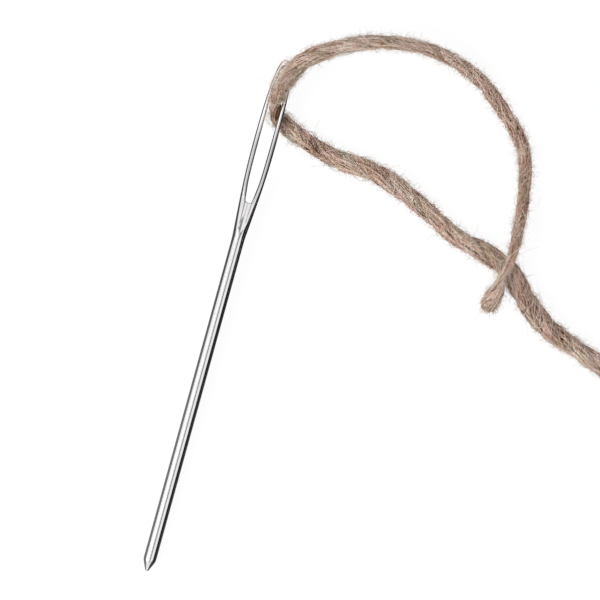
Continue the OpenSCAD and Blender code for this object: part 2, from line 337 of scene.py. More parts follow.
world = bpy.data.worlds.new("white_room")
bpy.context.scene.world = world
tree = empty_tree(world)
ray, way = add_node(tree, "LightPath").outputs, split_place(tree, "Generated")
height = computed(tree, "MULTIPLY_ADD", way["X"], -WALL_LEAN, way["Z"])
ceiling = ranged(tree, height, (WALL_TOP - WALL_SOFT, WALL_TOP + WALL_SOFT), (0, 1))
side_wall = ranged(tree, way["X"], (-0.3, 0.2), (WALL_LEFT, WALL_RIGHT))
end_wall = ranged(tree, computed(tree, "ABSOLUTE", way["Y"]), (0.35, 0.8), (0.0, WALL_ENDS))
corner = ranged(tree, way["X"], (0.3, 0.5), (1.0, 0.3))
behind = ranged(tree, way["Y"], (0.0, 0.2), (0.0, 1.0))
end_wall = computed(tree, "MULTIPLY", end_wall, computed(tree, "MAXIMUM", corner, behind))
wall = computed(tree, "ADD", side_wall, end_wall)
wall, ceiling_seen, light, seen = (add_node(tree, "Background", WHITE, strength)
                                   for strength in (wall, ROOM_MIRRORED, ROOM_LIGHT, 1.0))
mirrored = add_node(tree, "MixShader", ceiling, wall, ceiling_seen)
for_mirror = add_node(tree, "MixShader", ray["Is Glossy Ray"], light, mirrored)
for_camera = add_node(tree, "MixShader", ray["Is Camera Ray"], for_mirror, seen)
add_node(tree, "OutputWorld", for_camera)

bpy.ops.object.light_add(type="AREA", location=LAMP_AT)
lamp = bpy.context.object
lamp.data.size = LAMP_SIDE
lamp.data.energy = LAMP_POWER
lamp.rotation_euler = (-LAMP_AT).to_track_quat("-Z", "Y").to_euler()

card_finish, tree = new_finish("grey_card")
add_node(tree, "OutputMaterial", add_node(tree, "Emission", CARD_GREY, CARD_GLOW))
card_at = Vector((math.sin(CARD_ANGLE), 0, math.cos(CARD_ANGLE))) * CARD_AWAY
bpy.ops.mesh.primitive_plane_add(size=1, location=card_at, rotation=(0, CARD_ANGLE, 0))
card = bpy.context.object
card.name = "grey_card"
card.scale = (CARD_WIDTH, CARD_LENGTH, 1)
card.data.materials.append(card_finish)
card.visible_camera = card.visible_diffuse = card.visible_shadow = card.visible_transmission = False
bpy.context.scene.view_settings.view_transform = "Standard"
print("lamp", LAMP_POWER, "W, room", ROOM_LIGHT, "card", CARD_WIDTH, "m wide")

# %% [markdown]
# ## Thin closed tubes
# Jute is a bundle of flat fibres. Every fibre here is a closed tube of a few sides, and a whole
# bundle becomes one mesh. Each point also keeps a tone, from about 0 for dark to about 1 for
# pale, which the material reads later as a colour.

# %% A bundle of tubes as one mesh
UP = np.array((0.0, 0.0, 1.0))


class Bundle:
    """Collects closed tubes and makes one mesh of them."""

    def __init__(self):
        self.points, self.faces, self.tones, self.count = [], [], [], 0

    def add(self, rings, tones):
        """Adds a tube, an array of outlines by points by 3, with a tone or one for each outline,
        or many tubes of equal counts at once, with a tone for each tube."""
        if rings.ndim == 3:
            rings, tones = rings[None], np.broadcast_to(tones, (1, len(rings)))
        else:
            tones = np.broadcast_to(tones[:, None], rings.shape[:2])
        tubes, n, sides = rings.shape[:3]
        first = self.count + np.arange(tubes * n).reshape(tubes, n, 1) * sides
        here, step = first + np.arange(sides), first + (np.arange(sides) + 1) % sides
        quads = np.stack([here[:, :-1], step[:, :-1], step[:, 1:], here[:, 1:]], -1)
        self.faces += quads.reshape(-1, 4).tolist()
        self.faces += here[:, 0, ::-1].tolist() + here[:, -1].tolist()
        self.points.append(rings.reshape(-1, 3))
        self.tones.append(np.repeat(tones, sides))
        self.count += tubes * n * sides

    def piece(self, name, finish):
        mesh = bpy.data.meshes.new(name)
        mesh.from_pydata(np.concatenate(self.points), [], self.faces)
        mesh.shade_smooth()
        tone = mesh.attributes.new("tone", "FLOAT", "POINT")
        tone.data.foreach_set("value", np.concatenate(self.tones).astype(np.float32))
        mesh.materials.append(finish)
        made = bpy.data.objects.new(name, mesh)
        bpy.context.collection.objects.link(made)
        triangles = sum(len(f) - 2 for f in self.faces)
        print(name, self.count, "points,", triangles, "triangles")
        return made


def around(at, out, wide, thin, sides=4):
    """Outlines of a tube along some points that is thin along out and wide across it."""
    way = unit(np.gradient(at, axis=0))
    out = unit(out - way * np.sum(out * way, -1, keepdims=True))
    across = np.cross(way, out)
    a = (np.arange(sides) + 0.5) / sides * math.tau
    return (at[:, None] + np.cos(a)[None, :, None] * (out * thin[:, None])[:, None]
            + np.sin(a)[None, :, None] * (across * wide[:, None])[:, None])


trial = around(run_line.at[:9], UP, run_line.radius[:9], run_line.radius[:9])
print("a trial tube has", trial.shape[0], "outlines of", trial.shape[1], "points")

# %% [markdown]
# ## Twisting two plies
# Jute twine is two soft plies that turn round each other, to the right, once in about 13 mm.
# The fibres in a ply turn the other way, so on the outside they run nearly along the twine. A
# ply is drawn as an oval round its own helix, and the fibres lie on that oval.

# %% Where a fibre lies on a ply
LAY = 0.0135
PLY_OUT, PLY_THIN, PLY_WIDE = 0.38, 0.53, 0.77
SQUASH = 0.92
BACK_TWIST = 1.1
QUICK_SPAN = (0.004, 0.02)
# The inside of each ply has a dark tone: painted shade deep between the fibres and the plies.
CORE_SHARE, CORE_SHADE_TONE, CORE_FLOOR = 0.82, 0.14, 0.00002


def on_ply(line, s, ply, angle, share):
    """Points on a ply, the way out of it, and the way along the twine, at distances s."""
    at, side, up, way, radius = line.pick(s)
    turned = (math.tau * s / LAY + math.pi * ply)[:, None]
    e1 = np.cos(turned) * side + np.sin(turned) * up
    e2 = np.cos(turned) * up - np.sin(turned) * side
    c, d, r = np.cos(angle)[:, None], np.sin(angle)[:, None], radius[:, None]
    share = np.reshape(share, (-1, 1))
    off = r * ((PLY_OUT + PLY_THIN * share * c) * e1 + PLY_WIDE * share * d * e2)
    off[:, 2] *= SQUASH
    return at + off, unit(c / PLY_THIN * e1 + d / PLY_WIDE * e2), way


def wave(rng, size, short=0.009, long=0.045):
    """A slow random curve along the twine, as a function of the distance."""
    parts = [(rng.uniform(short, long), rng.random()) for _ in range(3)]
    return lambda s: size / 3 * sum(np.sin(math.tau * (s / step + begin)) for step, begin in parts)


def wander(rng, s, size, *span):
    return wave(rng, size, *span)(s)


def add_cores(bundle, line, rng, step=0.0006, sides=14):
    """The dense inside of each ply, with shallow ridges."""
    s = np.linspace(0, line.length, max(3, int(line.length / step)))
    for ply in (0, 1):
        rings = []
        for j in range(sides):
            a = math.tau * j / sides - BACK_TWIST * math.tau * s / LAY
            share = CORE_SHARE + wander(rng, s, 0.05, *QUICK_SPAN)
            rings.append(on_ply(line, s, ply, a, share)[0])
        rings = np.stack(rings, 1)
        keep_above(rings, CORE_FLOOR)
        # A dark tone, painted shade between the fibres.
        bundle.add(rings, CORE_SHADE_TONE + wander(rng, s, 0.08))


print("the plies turn once in", LAY / MM, "mm,", round(run_line.length / LAY), "times in all")

# %% [markdown]
# Fibres lie in locks that wander together. Each fibre is broken into lengths, and where one
# ends, it tapers and rises a little out of the twine.

# %% Fibres in locks
LOCKS = 12
LOCK_SPAN, EDGE_SPAN, TONE_SPAN = (0.006, 0.03), (0.003, 0.012), (0.006, 0.02)
FIBRE_LONG, FIBRE_LEAST, FIBRE_FLOOR = (0.006, 0.026), 0.004, 0.00008
FIBRE_SHARE, FIBRE_LIFT, LIFT_SPAN, TAPER_SPAN = (0.87, 0.96), 0.14, 0.0012, 0.003
FLATNESS = (1.35, 0.8)
DARK_PART, DARK_TONE = 0.08, 0.12
PALE_PART, PALE_TONE = 0.1, 0.9
FIBRE_TONE = (0.55, 0.11)


def add_fibres(bundle, line, start, end, per_lock, step, rng, thick=(0.00004, 0.00012)):
    """Fibres in locks along both plies, each broken into pieces whose ends rise and taper."""
    for ply in (0, 1):
        for lock in range(LOCKS):
            drift = wave(rng, 0.55, *LOCK_SPAN)
            rise = wave(rng, 0.05, 0.005, 0.02)
            shade = wave(rng, 0.22, *LOCK_SPAN)
            for k in range(per_lock):
                place = math.tau * (lock + (k + rng.uniform(0.1, 0.9)) / per_lock) / LOCKS
                here = start - rng.uniform(0, 0.03)
                while here < end - FIBRE_LEAST:
                    long = rng.uniform(*FIBRE_LONG)
                    a, b = max(here, start), min(here + long, end)
                    here += long + rng.uniform(-0.004, 0.002)
                    if b - a < FIBRE_LEAST:
                        continue
                    s = np.linspace(a, b, max(5, int((b - a) / step)))
                    angle = (place - BACK_TWIST * math.tau * s / LAY + drift(s)
                             + wander(rng, s, 0.22, *QUICK_SPAN))
                    near_end = np.minimum(s - a, b - s)
                    lift = rng.uniform(0, FIBRE_LIFT) * np.exp(-near_end / LIFT_SPAN)
                    share = rng.uniform(*FIBRE_SHARE) + rise(s) + wander(rng, s, 0.03) + lift
                    at, out, _ = on_ply(line, s, ply, angle, share)
                    taper = np.clip(near_end / TAPER_SPAN, 0.15, 1) ** 0.6
                    size = rng.uniform(*thick) * taper * (1 + wander(rng, s, 0.25, *EDGE_SPAN))
                    keep_above(at, FIBRE_FLOOR)
                    kind = rng.random()
                    tone = (DARK_TONE if kind < DARK_PART else PALE_TONE if kind > 1 - PALE_PART
                            else rng.normal(*FIBRE_TONE))
                    tone = tone + shade(s) + line.tone_and_shade(s) + wander(rng, s, 0.1, *TONE_SPAN)
                    rings = around(at, out, size * FLATNESS[0], size * FLATNESS[1])
                    bundle.add(rings, np.clip(tone, 0, 1))


print(2 * LOCKS, "locks of fibres round the twine")

# %% [markdown]
# ## Loose hairs
# Jute is never smooth. Short fibre ends stand out all along it, some long ones drift away from
# it, and now and then a pale one is wound round it at a steep angle. They are what makes the
# outline soft.

# %% Hairs that stand out
CLEAR_R = 0.020
CLEAR_LOW, CLEAR_HIGH = 0.0028, 0.0053
HAIR_SIDES = 3
HAIR_LONG, LONG_HAIR_LONG = (0.0005, 0.0019), (0.0022, 0.005)
HAIR_R, HAIR_FLOOR, HAIR_TONES = (0.000018, 0.000032), 0.00004, (0.7, 1.0)
HAIR_ROOT, HAIR_EYE_END = 0.95, 0.012


def in_needle_path(at):
    """Whether a path is where the eye of the needle may swing or slide."""
    near = np.hypot(at[:, 0] - EYE_AXIS.x, at[:, 1] - EYE_AXIS.y) < CLEAR_R
    return bool((near & (at[:, 2] > CLEAR_LOW) & (at[:, 2] < CLEAR_HIGH)).any())


def free_of_needle(paths, s, eye_end):
    """Which paths stay: all that start past the eye's end of the twine, and the clear ones."""
    return np.array([s[i] > eye_end or not in_needle_path(path) for i, path in enumerate(paths)])


def strewn(start, end, per_mm, rng):
    """Random places on the plies: distances, plies, angles."""
    n = int((end - start) / MM * per_mm)
    return rng.uniform(start, end, n), rng.integers(0, 2, n), rng.uniform(0, math.tau, n)


def thin_tubes(paths, size):
    """Outlines round many short paths at once; size has one radius for each path and point."""
    way = unit(np.gradient(paths, axis=1))
    out = unit(np.cross(way, np.roll(way[:, :1], 1, axis=2) + 0.3))
    across = np.cross(way, out)
    a = ((np.arange(HAIR_SIDES) + 0.5) / HAIR_SIDES * math.tau)[:, None]
    return paths[:, :, None] + size[:, :, None, None] * (
        np.cos(a) * out[:, :, None] + np.sin(a) * across[:, :, None])


def add_hairs(bundle, line, start, end, per_mm, rng, long_share=0.006, steps=5, far_bundle=None):
    """Short curly ends that stand out of the twine, and a few long ones. A far bundle takes those
    on the far half, where one mesh would have more than 200,000 triangles."""
    s, ply, angle = strewn(start, end, per_mm, rng)
    at, out, way = on_ply(line, s, ply, angle, HAIR_ROOT)
    count = len(s)
    long = rng.uniform(*HAIR_LONG, count)
    far = rng.random(count) < long_share
    long[far] = rng.uniform(*LONG_HAIR_LONG, far.sum())
    first = unit(out * rng.uniform(0.25, 1.0, (count, 1)) + way * rng.normal(0, 1.3, (count, 1))
                 + rng.normal(0, 0.3, (count, 3)))
    over = unit(np.cross(first, rng.normal(0, 1, (count, 3))))
    turn = rng.normal(0, 2.6, count) + 0.5
    phase = turn[:, None] * np.linspace(0, 1, steps + 1)
    heading = np.cos(phase)[..., None] * first[:, None] + np.sin(phase)[..., None] * over[:, None]
    hop = heading[:, :-1] * (long / steps)[:, None, None]
    paths = at[:, None] + np.concatenate([np.zeros((count, 1, 3)), np.cumsum(hop, axis=1)], 1)
    free = free_of_needle(paths, s, HAIR_EYE_END)
    paths, s = paths[free], s[free]
    keep_above(paths, HAIR_FLOOR)
    size = rng.uniform(*HAIR_R, (len(s), 1)) * np.linspace(1, 0.5, steps + 1)
    tubes, tones = thin_tubes(paths, size), rng.uniform(*HAIR_TONES, len(s))
    beyond = (s > (start + end) / 2) & (far_bundle is not None)
    bundle.add(tubes[~beyond], tones[~beyond])
    if far_bundle:
        far_bundle.add(tubes[beyond], tones[beyond])


print("hairs from", HAIR_LONG[0] / MM, "to", LONG_HAIR_LONG[1] / MM, "mm long")

# %% [markdown]
# Between the hairs that stand out, short fibres lie matted on the plies like felt, and longer
# ones leave the twine, run beside it and come back. Both are rows of distances and angles on
# the plies, so one function places them.

# %% Matted fibres and loops
MATTED_LONG, MATTED_R, MATTED_FLOOR = (0.0009, 0.0034), (0.000026, 0.000058), 0.00006
MATTED_DARK_PART, MATTED_DARK, MATTED_PALE = 0.25, (-0.3, 0.25), (0.5, 1.0)
LOOP_LONG, LOOP_R, LOOP_RISE = (0.002, 0.009), (0.00002, 0.000036), (0.1, 0.75)
LOOP_EYE_END = 0.014


def paths_on_plies(line, run, ply, angle, share):
    """Paths on the plies, from a row of distances, angles and shares of the ply for each."""
    run = np.clip(run, 0, line.length)
    plies = np.repeat(ply, run.shape[1])
    return on_ply(line, run.ravel(), plies, angle.ravel(), share.ravel())[0].reshape(*run.shape, 3)


def add_matted(bundle, line, start, end, per_mm, rng, steps=6):
    """Short fibres that lie on the plies at all angles, like felt."""
    s, ply, _ = strewn(start, end, per_mm, rng)
    count, t = len(s), np.linspace(0, 1, steps + 1)
    long = rng.uniform(*MATTED_LONG, (count, 1))
    lean = rng.normal(0.15, 0.55, (count, 1))
    run = s[:, None] + long * np.cos(lean) * t
    radius = line.pick(s)[4][:, None] * 0.7
    angle = (rng.uniform(-2.2, 2.2, (count, 1)) + long * np.sin(lean) / radius * t
             + rng.normal(0, 0.35, (count, 1)) * t * t)
    share = (rng.uniform(0.92, 1.02, (count, 1))
             + rng.uniform(0, 0.12, (count, 1)) * np.abs(2 * t - 1) ** 4)
    paths = paths_on_plies(line, run, ply, angle, share)
    keep_above(paths, MATTED_FLOOR)
    size = rng.uniform(*MATTED_R, (count, 1)) * (1 - 0.6 * np.abs(2 * t - 1) ** 3)
    tones = np.where(rng.random(count) < MATTED_DARK_PART, rng.uniform(*MATTED_DARK, count),
                     rng.uniform(*MATTED_PALE, count))
    bundle.add(thin_tubes(paths, size), np.clip(tones + line.tone_and_shade(s), MATTED_DARK[0], 1))


def add_loops(bundle, line, start, end, per_mm, rng, steps=10):
    """Longer hairs that leave the twine, run beside it and come back."""
    s, ply, angle = strewn(start, end, per_mm, rng)
    count, t = len(s), np.linspace(0, 1, steps + 1)
    run = s[:, None] + rng.uniform(*LOOP_LONG, (count, 1)) * t
    angle = (angle[:, None] + rng.normal(0, 1.0, (count, 1)) * t
             + rng.normal(0, 0.6, (count, 1)) * t * t)
    share = HAIR_ROOT + rng.uniform(*LOOP_RISE, (count, 1)) * np.sin(math.pi * t) ** 1.2
    share += rng.normal(0, 0.03, share.shape)
    paths = paths_on_plies(line, run, ply, angle, share)
    paths = paths[free_of_needle(paths, s, LOOP_EYE_END)]
    keep_above(paths, HAIR_FLOOR)
    size = rng.uniform(*LOOP_R, (len(paths), 1)) * (1 - 0.4 * np.abs(2 * t - 1) ** 3)
    bundle.add(thin_tubes(paths, size), rng.uniform(*HAIR_TONES, len(paths)))


print("matted fibres up to", MATTED_LONG[1] / MM, "mm, loops up to", LOOP_LONG[1] / MM, "mm long")

# %% [markdown]
# Two kinds are listed or placed one by one: stray hairs beside given routes, and pale fibres
# that are wound over both plies. A wound fibre lies on the hull of the two plies, which is
# nearly a rounded square.

# %% Stray hairs and wound fibres
WRAP_LONG, WRAP_TURN, WRAP_POINTS = (0.0015, 0.006), (1.6, 3.6), 15
WRAP_R, WRAP_TONES, WRAP_FLOOR = (0.00005, 0.00008), (0.95, 1.2), 0.00005
HULL_HALVES, HULL_SQUARE = (0.91, 0.79), 3


def add_strays(bundle, routes, each, rng, size=(0.000022, 0.00004), tones=(0.75, 1.0)):
    """A few hairs beside each route, which is in millimetres from the foot of the eye's axis."""
    for route in routes:
        for _ in range(each):
            points = np.array(route) + rng.normal(0, 0.13, 3) + rng.normal(0, 0.06, (len(route), 3))
            at = curve_through(points, 5) * MM + np.array(EYE_AXIS)
            wide = rng.uniform(*size) * np.linspace(1, 0.5, len(at))
            bundle.add(around(at, UP, wide, wide), rng.uniform(*tones))


def add_wrappers(bundle, line, start, end, gap, rng):
    """Pale fibres wound over both plies at a steep angle."""
    here = start
    while here < end:
        here += rng.uniform(0.4, 1.6) * gap
        span, turn = rng.uniform(*WRAP_LONG), rng.uniform(*WRAP_TURN) * rng.choice((-1, 1, 1))
        if here + span > end:
            break
        t = np.linspace(0, 1, WRAP_POINTS)
        at, side, up, _, radius = line.pick(here + span * t)
        a = rng.uniform(0, math.tau) + turn * t
        rel = a - math.tau * (here + span * t) / LAY
        hull = (np.abs(np.cos(rel) / HULL_HALVES[0]) ** HULL_SQUARE
                + np.abs(np.sin(rel) / HULL_HALVES[1]) ** HULL_SQUARE) ** (-1 / HULL_SQUARE)
        out = np.cos(a)[:, None] * side + np.sin(a)[:, None] * up
        lift = 1.04 + 0.25 * np.exp(-np.minimum(t, 1 - t) / 0.06)
        at = at + out * (radius * hull * lift)[:, None] * np.array((1, 1, SQUASH))
        keep_above(at, WRAP_FLOOR)
        if in_needle_path(at) and here < HAIR_EYE_END:
            continue
        size = np.full(WRAP_POINTS, rng.uniform(*WRAP_R))
        bundle.add(around(at, out, size, size), rng.uniform(*WRAP_TONES))


print("wound fibres", WRAP_R[0] / MM, "to", WRAP_R[1] / MM, "mm in radius")

# %% [markdown]
# ## The jute finish
# Dry jute is matt, and its colour changes from fibre to fibre: straw where a fibre is pale. Deep
# between the plies it is dark brown, which is painted shade: the dark tone of the inside of each
# ply. The material turns each point's tone into a colour with a ramp, breaks it up with fine
# noise, and roughens the surface a little.

# %% Jute material
def noise(tree, place, scale, detail, roughness):
    return add_node(tree, "TexNoise", Vector=place, Scale=scale, Detail=detail,
                    Roughness=roughness).outputs["Fac"]


def ramp(tree, value, *stops):
    """A colour ramp through stops, each a position and a colour."""
    made = add_node(tree, "ValToRGB", value)
    elements = made.color_ramp.elements
    for element, (position, colour) in zip(elements, (stops[0], stops[-1])):
        element.position, element.color = position, (*colour, 1)
    for position, colour in stops[1:-1]:
        elements.new(position).color = (*colour, 1)
    return made


def mixed(tree, factor, first, second, blend="MIX"):
    """Two colours mixed or multiplied."""
    return add_node(tree, "Mix", settings={"data_type": "RGBA", "blend_type": blend},
                    Factor=factor, A=first, B=second).outputs["Result"]


def bumps(tree, height, strength, distance):
    return add_node(tree, "Bump", Height=height, Strength=strength, Distance=distance)


jute_finish, tree = new_finish("jute_fibre")
place = add_node(tree, "TexCoord").outputs["Object"]
tone = add_node(tree, "Attribute", settings={"attribute_name": "tone"}).outputs["Fac"]
specks, drift, hue = (noise(tree, place, *values) for values in (
    (2600.0, 3.0, 0.6), (160.0, 2.0, 0.5), (330.0, 2.0, 0.5)))
speckled = computed(tree, "ADD", tone, ranged(tree, specks, (0.3, 0.7), (-0.22, 0.22)))
drifted = computed(tree, "ADD", speckled, ranged(tree, drift, (0.3, 0.7), (-0.12, 0.12)))
browns = ramp(tree, drifted, (0.0, (0.085, 0.04, 0.018)), (0.22, (0.31, 0.18, 0.115)),
              (0.5, (0.59, 0.41, 0.32)), (0.75, (0.72, 0.54, 0.44)), (1.0, (0.84, 0.77, 0.72)))
hues = ramp(tree, hue, (0.38, (1.0, 0.925, 0.93)), (0.62, (0.98, 1.0, 0.93)))
jute = add_node(tree, "BsdfPrincipled", Base_Color=mixed(tree, 1.0, browns, hues, "MULTIPLY"),
                Roughness=0.82, Specular_IOR_Level=0.25,
                Normal=bumps(tree, specks, 0.35, 0.00004))
add_node(tree, "OutputMaterial", jute)
print("jute finish", len(tree.nodes), "nodes")

# %% [markdown]
# ## The standing part and its coil
# The twine's own piece is the dense inside of both plies, from the eye to the last turn of the
# coil. The fibres and hairs on it are separate pieces that belong to the same cord. The stretch
# in the picture gets the finest fibres.

# %% Twine from the eye to the coil
SEEN_END = 0.110
HALF_COIL = 0.25
LOOPS_PER_MM = 4
RUN_WRAP_GAP = 0.0028
STRAYS_BELOW = [
    [(1.0, -4.4, 1.8), (0.2, -4.3, 2.1), (-0.5, -4.0, 2.3), (-1.3, -3.3, 2.4)],
    [(0.5, -3.3, 1.8), (0.0, -3.1, 2.2), (-0.5, -2.7, 2.4), (-1.2, -1.9, 2.5)],
    [(0.3, -2.6, 2.0), (-0.5, -2.3, 2.3), (-1.0, -2.7, 2.4), (-0.5, -3.2, 2.3), (0.2, -2.9, 2.2)],
    [(1.8, -2.1, 2.0), (2.4, -1.4, 2.3), (3.3, -1.7, 2.3), (4.3, -2.8, 2.2)],
    [(1.6, -2.3, 2.0), (2.3, -1.7, 2.4), (3.0, -2.0, 2.4), (3.6, -2.7, 2.3)],
]

bundle = Bundle()
add_cores(bundle, run_line, np.random.default_rng(11))
twine = bundle.piece("jute_twine", jute_finish)

twine_fibres = []
for name, start, end, per_lock, step, seed in (
    ("run_fibres", 0.0, SEEN_END, 5, 0.0009, 12),
    ("coil_fibres_outer", SEEN_END, HALF_COIL, 3, 0.0013, 13),
    ("coil_fibres_inner", HALF_COIL, run_line.length, 3, 0.0013, 14),
):
    bundle = Bundle()
    add_fibres(bundle, run_line, start, end, per_lock, step, np.random.default_rng(seed))
    twine_fibres.append(bundle.piece(name, jute_finish))

for name, start, end, hairs, matted, seed in (
    ("run", 0.002, SEEN_END, 80, 30, 15), ("coil", SEEN_END, run_line.length, 14, 6, 16),
):
    bundle = Bundle()
    far_bundle = Bundle() if name == "run" else None
    rng = np.random.default_rng(seed)
    add_hairs(bundle, run_line, start, end, hairs, rng, steps=4, far_bundle=far_bundle)
    add_loops(bundle, run_line, start, end, LOOPS_PER_MM, rng)
    add_wrappers(bundle, run_line, start, end, RUN_WRAP_GAP, rng)
    if name == "run":
        add_strays(bundle, STRAYS_BELOW, 5, rng)
        twine_fibres.append(far_bundle.piece("run_hairs_far", jute_finish))
    twine_fibres.append(bundle.piece(name + "_hairs", jute_finish))
    bundle = Bundle()
    add_matted(bundle, run_line, start, end, matted, rng)
    twine_fibres.append(bundle.piece(name + "_matted", jute_finish))

# %% [markdown]
# ## The loose end
# The loose end comes out of the eye on top, passes over the closed end of the needle, and ends
# in a tuft where the plies have opened. Cut fibres of different lengths fan out there. Most of
# its hairs lie by chance, and those that stand clear of the eye are placed along given routes.

# %% The loose end
bundle = Bundle()
add_cores(bundle, tail_line, np.random.default_rng(21), sides=12)
tail = bundle.piece("jute_loose_end", jute_finish)

bundle = Bundle()
add_fibres(bundle, tail_line, 0.0, tail_line.length, 3, 0.0009, np.random.default_rng(22),
           thick=(0.00005, 0.00012))
tail_fibres = [bundle.piece("loose_end_fibres", jute_finish)]

# %% Its hairs and its tuft
TAIL_WRAP_GAP = 0.003
TUFT_FROM = tail_line.length - 0.0038
TUFT_HAIRS, TUFT_POINTS, TUFT_TIP = 260, 5, 0.0004
TUFT_R, TUFT_TONES = (0.00003, 0.00008), (0.4, 1.0)
DARK_R, DARK_TONES = (0.00006, 0.0001), (-0.35, -0.2)
STRAYS_ABOVE = [
    [(2.9, 5.3, 6.6), (2.5, 4.2, 6.3), (2.0, 3.2, 5.9), (1.7, 2.3, 5.6)],
    [(2.5, 4.4, 6.4), (2.2, 3.4, 6.0), (1.6, 2.8, 5.7)],
    [(-0.6, 0.2, 6.0), (-1.3, 1.2, 5.7), (-1.6, 2.6, 5.6), (-1.3, 4.2, 5.6), (-0.8, 5.0, 5.8)],
    [(-0.4, 1.4, 6.4), (-1.1, 2.6, 6.0), (-1.2, 4.2, 5.8), (-0.5, 5.8, 5.8)],
    [(0.2, 4.8, 7.0), (-0.6, 5.2, 6.3), (-0.9, 6.2, 6.0), (-0.3, 7.2, 6.2)],
    [(-0.2, -0.6, 5.8), (-0.9, -1.2, 5.6), (-1.4, -0.6, 5.6), (-1.3, 0.4, 5.7), (-0.7, 1.0, 6.2)],
]
DARK_ABOVE = [
    [(0.1, 0.7, 7.2), (0.3, 0.6, 7.2), (0.5, 0.6, 7.1)],
    [(0.5, 0.4, 7.1), (0.7, 0.3, 7.0), (1.0, 0.35, 6.8)],
    [(0.2, 1.6, 7.6), (0.4, 1.3, 7.5), (0.5, 1.1, 7.4)],
]

bundle, far_bundle = Bundle(), Bundle()
rng = np.random.default_rng(23)
first, last = 0.001, tail_line.length - 0.001
add_hairs(bundle, tail_line, first, last, 75, rng, steps=4, far_bundle=far_bundle)
add_hairs(bundle, tail_line, 0.0004, 0.0075, 110, rng, long_share=0.1)
add_loops(bundle, tail_line, first, tail_line.length - 0.002, LOOPS_PER_MM, rng)
add_wrappers(bundle, tail_line, 0.002, tail_line.length - 0.006, TAIL_WRAP_GAP, rng)
add_strays(bundle, STRAYS_ABOVE, 7, rng)
add_strays(bundle, DARK_ABOVE, 5, rng, DARK_R, DARK_TONES)
for _ in range(TUFT_HAIRS):
    s = np.linspace(TUFT_FROM + rng.uniform(-0.002, 0.001),
                    tail_line.length - rng.uniform(0, 0.0022), TUFT_POINTS)
    angle = rng.uniform(0, math.tau) - BACK_TWIST * math.tau * s / LAY
    at, out, _ = on_ply(tail_line, s, int(rng.integers(2)), angle,
                        rng.uniform(0.3, 1.0) * np.linspace(1, rng.uniform(1, 1.25), TUFT_POINTS))
    tip = unit(at[-1] - at[-2]) * rng.uniform(0.3, 1.0) + rng.normal(0, 0.45, 3) + out[-1] * 0.3
    hair = np.concatenate([at, [at[-1] + tip * TUFT_TIP, at[-1] + tip * TUFT_TIP * 2]])
    keep_above(hair, HAIR_FLOOR)
    size = np.linspace(1.0, 0.5, TUFT_POINTS + 2) * rng.uniform(*TUFT_R)
    bundle.add(around(hair, out[0], size, size), rng.uniform(*TUFT_TONES))
tail_fibres.append(far_bundle.piece("loose_end_hairs_far", jute_finish))
tail_fibres.append(bundle.piece("loose_end_hairs", jute_finish))

bundle = Bundle()
add_matted(bundle, tail_line, first, last, 26, rng)
tail_fibres.append(bundle.piece("loose_end_matted", jute_finish))

# %% [markdown]
# ## The twine inside the eye
# In the eye the twine is squeezed between the two wires. It moves with the needle as the needle
# swings, so it is a piece of its own, with a dense inside and fibres on it.

# %% The squeezed bight
BIGHT_ROUTE = [
    (0.0010, -0.0027, 0.0017, 0.00105),
    (0.0006, -0.0020, 0.0022, 0.0010),
    (0.00015, -0.0012, 0.0030, 0.0010),
    (-0.0001, -0.0004, 0.0039, 0.00098),
    (-0.00015, 0.0004, 0.0048, 0.00105),
    (0, 0.0012, 0.0058, 0.0012),
    (0.0001, 0.0019, 0.0065, 0.0013),
]
bight_line = Line(BIGHT_ROUTE)
bundle = Bundle()
add_cores(bundle, bight_line, np.random.default_rng(31), step=0.0004)
add_fibres(bundle, bight_line, 0, bight_line.length, 3, 0.0005, np.random.default_rng(32),
           thick=(0.00005, 0.00011))
# Painted shadow: near-black fibres by the right wire stand for the shade where the twine goes
# under.
SHADOW_LOCK_PAINTED = [(0.9, -2.9, 3.0), (0.75, -2.1, 3.7), (0.7, -1.3, 4.3), (0.65, -0.4, 4.9)]
add_strays(bundle, [SHADOW_LOCK_PAINTED], 30, np.random.default_rng(33), (0.00007, 0.00014), DARK_TONES)
bight = bundle.piece("jute_in_eye", jute_finish)

# %% [markdown]
# ## The tie round the coil
# A short cotton thread holds the turns of the coil together. It goes round them a few times and
# ends in a small knot on top, with two short ends. Cotton is paler, finer and more even than
# jute, so one fine noise is enough for its finish.

# %% Cotton material
cotton_finish, tree = new_finish("cotton_thread")
lint = noise(tree, add_node(tree, "TexCoord").outputs["Object"], 3500.0, 3.0, 0.6)
cotton = add_node(tree, "BsdfPrincipled", Roughness=0.75, Specular_IOR_Level=0.3,
                  Base_Color=ramp(tree, lint, (0.3, (0.60, 0.50, 0.37)), (0.7, (0.78, 0.69, 0.54))),
                  Normal=bumps(tree, lint, 0.4, 0.00005))
add_node(tree, "OutputMaterial", cotton)
print("cotton finish", len(tree.nodes), "nodes")

# %% [markdown]
# The turns are one path round the coil, from one side of the tie to the other. The knot and the
# two ends are short paths on top of it.

# %% The path of the thread, its turns and its knot
THREAD_R = 0.00024
THREAD_TURNS, TURN_POINTS = 5, 24
TIE_HALF, TIE_SQUARE = 0.0024 * 0.42, (0.45, 0.6)
KNOT = [(0.0004, 0.0006, 0.0002), (-0.0004, 0.0002, 0.0006), (-0.0006, -0.0004, 0.0004),
        (0.0001, -0.0006, 0.0001), (0.0006, 0, 0.0004), (0.0002, 0.0006, 0.0008),
        (-0.0005, 0.0003, 0.0007), (-0.0003, -0.0006, 0.0007), (0.0005, -0.0004, 0.0008)]
ENDS = ([(0.0012, -0.0012, 0.0005), (0.0020, -0.0026, 0.0001), (0.0026, -0.0040, 0)],
        [(-0.0010, 0.0010, 0.0004), (-0.0020, 0.0020, 0.0001), (-0.0034, 0.0026, 0)])
ENDS_FROM = 4

